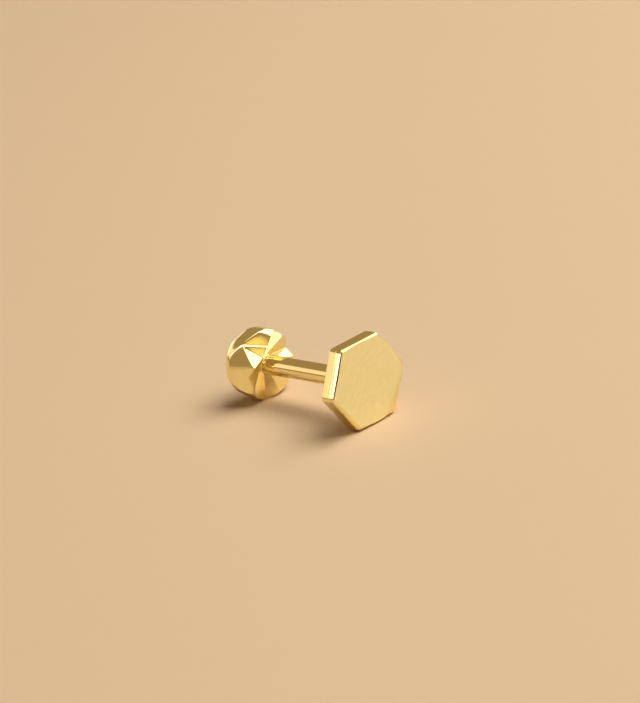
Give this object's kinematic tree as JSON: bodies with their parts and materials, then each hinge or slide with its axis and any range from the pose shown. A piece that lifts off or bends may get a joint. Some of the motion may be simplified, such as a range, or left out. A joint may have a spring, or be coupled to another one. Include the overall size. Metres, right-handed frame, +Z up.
{
  "type": "tragus stud earring with screw back",
  "caption": "Six-sided flat-topped stud on a plain round post, with a small button back that screws on and has a grooved inner face.",
  "frame": {"origin": "on the surface that the stud lies on, under the middle of its outer box", "axes": "+Z up; -Y the way the plate faces; +Y along the post to the back, which leans down by about 2.5 degrees; +X to the right, seen from the plate's front"},
  "size_m": [0.0056, 0.0112, 0.005],
  "materials": {
    "stud_gold": "yellow gold, brushed front face and polished sides and post",
    "back_gold": "polished yellow gold"
  },
  "bodies": {
    "stud": {"hexagon_stud": "stud_gold"},
    "back": {"screw_back": "back_gold"}
  },
  "joints": [
    {"name": "back_comes_off", "type": "slide", "parent": "stud", "child": "back", "axis": [0, 0.999, -0.0438], "range_m": [0, 0.003]}
  ]
}
